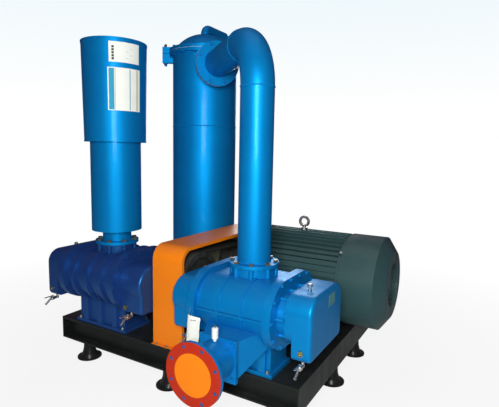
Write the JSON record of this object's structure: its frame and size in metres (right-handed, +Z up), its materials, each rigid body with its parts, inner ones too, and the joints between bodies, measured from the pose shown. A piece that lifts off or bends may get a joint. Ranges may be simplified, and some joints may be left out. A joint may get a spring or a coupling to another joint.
{
  "type": "roots vacuum pump",
  "caption": "Two-stage lobe-rotor vacuum pump set on a skid: belt-driven ribbed blowers, finned motor, interstage vessel, riser pipe and discharge silencer.",
  "frame": {"origin": "centre of the four corner feet at floor level", "axes": "+X along the skid towards the motor's fan end, -Y towards the suction flange, +Z up"},
  "size_m": [2.585, 2.1829, 2.958],
  "materials": {
    "skid_paint": "semi-gloss black machine paint",
    "foot_rubber": "black moulded isolator",
    "zinc": "zinc-plated fasteners",
    "guard_orange": "gloss orange sheet metal",
    "blower_blue": "gloss blue enamel over casting",
    "stage2_blue": "gloss blue enamel over casting",
    "pipe_blue": "gloss blue enamel over steel pipe",
    "motor_teal": "grey-green machine enamel",
    "steel": "turned and ground steel",
    "iron": "machined cast iron",
    "brass": "brass fittings",
    "belt_rubber": "black V-belt rubber",
    "gasket_red": "red-orange full-face gasket",
    "gasket_pale": "pale fibre gasket",
    "cover_orange": "yellow-orange transport cover",
    "tag_card": "white card",
    "alloy": "cast alloy",
    "valve_white": "white enamel"
  },
  "bodies": {
    "set": {"belt_guard": "guard_orange", "blanking_disc": "cover_orange", "breather_plugs": "zinc", "deck_plate": "skid_paint", "drain_cocks": "brass", "foot_studs": "zinc", "hanging_tag": "tag_card", "interstage_pipe": "pipe_blue", "isolator_feet": "foot_rubber", "lid_pipe": "pipe_blue", "motor_cowl": "motor_teal", "motor_end_shields": "motor_teal", "motor_eye_bolt": "zinc", "motor_housing": "motor_teal", "motor_rails": "skid_paint", "pedestals": "blower_blue", "pipe_bolts": "brass", "pipe_gaskets": "gasket_pale", "relief_valve_body": "valve_white", "riser_pipe": "pipe_blue", "rotor_bearings": "steel", "sight_glasses": "brass", "silencer_body": "pipe_blue", "silencer_drum": "pipe_blue", "skid_frame": "skid_paint", "stage1_casing": "blower_blue", "stage1_drive_cover": "blower_blue", "stage1_end_plates": "blower_blue", "stage1_gear_cover": "blower_blue", "stage1_inlet_chest": "blower_blue", "stage2_casing": "stage2_blue", "stage2_drive_cover": "stage2_blue", "stage2_end_plates": "stage2_blue", "stage2_gear_cover": "stage2_blue", "stage2_inlet_chest": "stage2_blue", "suction_gasket": "gasket_red", "suction_pipe": "pipe_blue", "terminal_box": "motor_teal", "v_belts": "belt_rubber", "vessel_lid": "pipe_blue", "vessel_shell": "pipe_blue"},
    "motor_rotor_body": {"motor_rotor": "steel", "motor_fan": "alloy", "motor_pulley": "iron"},
    "stage1_drive": {"stage1_drive_rotor": "iron", "stage1_drive_gear": "steel", "stage1_pulley": "iron"},
    "stage1_idler": {"stage1_idler_rotor": "iron", "stage1_idler_gear": "steel"},
    "stage2_drive": {"stage2_drive_rotor": "iron", "stage2_drive_gear": "steel", "stage2_pulley": "iron"},
    "stage2_idler": {"stage2_idler_rotor": "iron", "stage2_idler_gear": "steel"},
    "stage1_drive_lever": {"stage1_drive_drain_lever": "zinc"},
    "stage1_gear_lever": {"stage1_gear_drain_lever": "zinc"},
    "stage2_drive_lever": {"stage2_drive_drain_lever": "zinc"},
    "stage2_gear_lever": {"stage2_gear_drain_lever": "zinc"},
    "relief_pin": {"relief_valve_pin": "brass"}
  },
  "joints": [
    {"name": "motor_spin", "type": "hinge", "parent": "set", "child": "motor_rotor_body", "pos_m": [0.2, 0.22, 0.795], "axis": [1, 0, 0], "continuous": true},
    {"name": "stage1_drive_spin", "type": "hinge", "parent": "set", "child": "stage1_drive", "pos_m": [0.691, -0.545, 0.792], "axis": [1, 0, 0], "continuous": true},
    {"name": "stage1_idler_spin", "type": "hinge", "parent": "set", "child": "stage1_idler", "pos_m": [0.691, -0.795, 0.792], "axis": [1, 0, 0], "continuous": true},
    {"name": "stage2_drive_spin", "type": "hinge", "parent": "set", "child": "stage2_drive", "pos_m": [-0.604, -0.545, 0.792], "axis": [1, 0, 0], "continuous": true},
    {"name": "stage2_idler_spin", "type": "hinge", "parent": "set", "child": "stage2_idler", "pos_m": [-0.604, -0.795, 0.792], "axis": [1, 0, 0], "continuous": true},
    {"name": "stage1_drive_drain_turn", "type": "hinge", "parent": "set", "child": "stage1_drive_lever", "pos_m": [0.329, -0.919, 0.568], "axis": [0, 0, 1], "range_deg": [0, 90]},
    {"name": "stage1_gear_drain_turn", "type": "hinge", "parent": "set", "child": "stage1_gear_lever", "pos_m": [1.1655, -0.944, 0.568], "axis": [0, 0, 1], "range_deg": [0, 90]},
    {"name": "stage2_drive_drain_turn", "type": "hinge", "parent": "set", "child": "stage2_drive_lever", "pos_m": [-0.242, -0.919, 0.568], "axis": [0, 0, 1], "range_deg": [-90, 0]},
    {"name": "stage2_gear_drain_turn", "type": "hinge", "parent": "set", "child": "stage2_gear_lever", "pos_m": [-1.0785, -0.944, 0.568], "axis": [0, 0, 1], "range_deg": [-90, 0]},
    {"name": "relief_lift", "type": "slide", "parent": "set", "child": "relief_pin", "axis": [0, 0, 1], "range_m": [0, 0.008], "stiffness_N_per_m": 200, "springref_m": -0.004}
  ],
  "couplings": [
    {"joint": "stage1_drive_spin", "follows": "motor_spin", "ratio": 0.78261},
    {"joint": "stage1_idler_spin", "follows": "motor_spin", "ratio": -0.78261},
    {"joint": "stage2_drive_spin", "follows": "motor_spin", "ratio": 0.78261},
    {"joint": "stage2_idler_spin", "follows": "motor_spin", "ratio": -0.78261}
  ]
}
